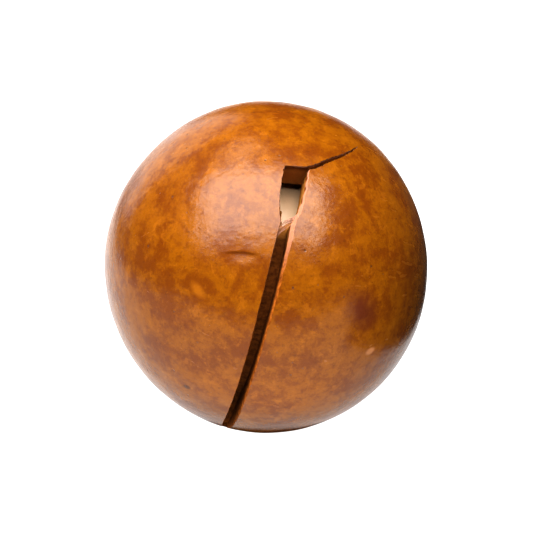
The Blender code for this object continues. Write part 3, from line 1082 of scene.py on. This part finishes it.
class MACADAMIA_OT_stage(bpy.types.Operator):
    """Make the glowing floor, the black cards, the soft lights and the camera"""

    bl_idname = "macadamia.stage"
    bl_label = "Make the stage"

    def execute(self, context):
        stage = context.scene.macadamia.stage
        form = SkinForm(context.scene.macadamia.shell)
        self.add_floor(stage)
        self.add_dark_cards()
        self.add_lights(stage, form.centre)
        self.add_room(context, stage)
        self.add_camera(context, stage, form.centre)
        return {"FINISHED"}

    def add_floor(self, stage):
        paper = Finish("pale_floor")
        tooth = paper.noise(1500, 3.0, 0.6)
        grey = tuple(0.96 * c for c in stage.floor_colour)
        colour = paper.mix(paper.ease(tooth, 0.4, 0.7), stage.floor_colour, grey)
        glow = {"Emission Color": (1.0, 1.0, 1.0, 1.0), "Emission Strength": stage.floor_glow}
        material = paper.surface({"Base Color": colour, "Roughness": 0.6 + tooth * 0.1, **glow})
        self.add_disc("floor", FLOOR_RADIUS, FLOOR_HEIGHT, material)

    def add_disc(self, name, radius, height, material):
        bm = bmesh.new()
        bmesh.ops.create_circle(bm, cap_ends=True, segments=DISC_SIDES, radius=radius)
        bmesh.ops.translate(bm, vec=(0.0, 0.0, height), verts=bm.verts)
        return add_object(name, bm, [material])

    def add_dark_cards(self):
        """Black cards that the camera doesn't see, which keep the floor's light off the nut's sides, and a
        black disc under the nut that stands in for its shadow.
        """
        material = Finish("dark_card").surface({"Base Color": (0.01, 0.01, 0.01, 1.0), "Roughness": 1.0})
        # painted shadow: a black disc under the nut, in place of its contact shadow
        cards = [self.add_disc("dark_card_under", SHADE_RADIUS, SHADE_HEIGHT, material)]
        for name, (sizes, middle) in DARK_CARDS.items():
            bm = bmesh.new()
            bmesh.ops.create_cube(bm, size=1.0)
            bmesh.ops.scale(bm, vec=sizes, verts=bm.verts)
            bmesh.ops.translate(bm, vec=middle, verts=bm.verts)
            cards.append(add_object(f"dark_card_{name}", bm, [material]))
        for card in cards:
            card.visible_camera = False

    def add_lights(self, stage, target):
        for name, (place, distance, sizes) in SOFTBOXES.items():
            light = self.add_softbox(name, sizes, getattr(stage, f"{name}_power"))
            ray = longitude_latitude(place)
            light.location = target + ray * distance
            light.rotation_euler = ray.to_track_quat("Z", "Y").to_euler()
        bounce = self.add_softbox("bounce", BOUNCE_SIZES, stage.bounce_power)
        bounce.location = BOUNCE_PLACE
        bounce.rotation_euler = (math.pi, 0.0, 0.0)

    def add_room(self, context, stage):
        world = bpy.data.worlds.new("dim_room")
        world.use_nodes = True
        background = world.node_tree.nodes["Background"]
        background.inputs["Color"].default_value = (1.0, 1.0, 1.0, 1.0)
        background.inputs["Strength"].default_value = stage.surround
        context.scene.world = world

    def add_softbox(self, name, sizes, power):
        light = bpy.data.lights.new(name, "AREA")
        light.shape = "RECTANGLE"
        light.size, light.size_y = sizes
        light.energy = power
        obj = bpy.data.objects.new(name, light)
        obj.visible_camera = False
        obj.visible_glossy = name not in FILLS
        bpy.context.scene.collection.objects.link(obj)
        return obj

    def add_camera(self, context, stage, target):
        camera = bpy.data.cameras.new("camera")
        camera.angle = 2 * math.atan(stage.view_width / 2 / stage.distance)
        camera.clip_start = 0.01
        ray = longitude_latitude((0.0, math.degrees(stage.elevation)))
        obj = bpy.data.objects.new("camera", camera)
        obj.location = target + ray * stage.distance
        obj.rotation_euler = ray.to_track_quat("Z", "Y").to_euler()
        context.scene.collection.objects.link(obj)
        context.scene.camera = obj
        context.scene.view_settings.view_transform = "Standard"
        context.scene.view_settings.gamma = stage.contrast


class MACADAMIA_PT_panel(bpy.types.Panel):
    """Lists the pieces and their settings"""

    bl_idname = "MACADAMIA_PT_panel"
    bl_label = "Macadamia nut"
    bl_space_type = "VIEW_3D"
    bl_region_type = "UI"
    bl_category = "Macadamia"

    def draw(self, context):
        settings = context.scene.macadamia
        for operator in PIECES:
            self.layout.operator(operator.bl_idname)
        for group in (settings.shell, settings.slit, settings.kernel, settings.stage):
            column = self.layout.box().column()
            for name in group.__annotations__:
                column.prop(group, name)


SETTINGS = (ShellSettings, SlitSettings, KernelSettings, StageSettings, MacadamiaSettings)
PIECES = (MACADAMIA_OT_shell, MACADAMIA_OT_fibres, MACADAMIA_OT_kernel, MACADAMIA_OT_stage)


def register():
    for cls in (*SETTINGS, *PIECES, MACADAMIA_PT_panel):
        bpy.utils.register_class(cls)
    bpy.types.Scene.macadamia = PointerProperty(type=MacadamiaSettings)


def unregister():
    del bpy.types.Scene.macadamia
    for cls in (MACADAMIA_PT_panel, *reversed(PIECES), *reversed(SETTINGS)):
        bpy.utils.unregister_class(cls)


def main():
    register()
    bpy.ops.macadamia.stage()
    bpy.ops.macadamia.shell()
    bpy.ops.macadamia.fibres()
    bpy.ops.macadamia.kernel()


if __name__ == "__main__":
    main()
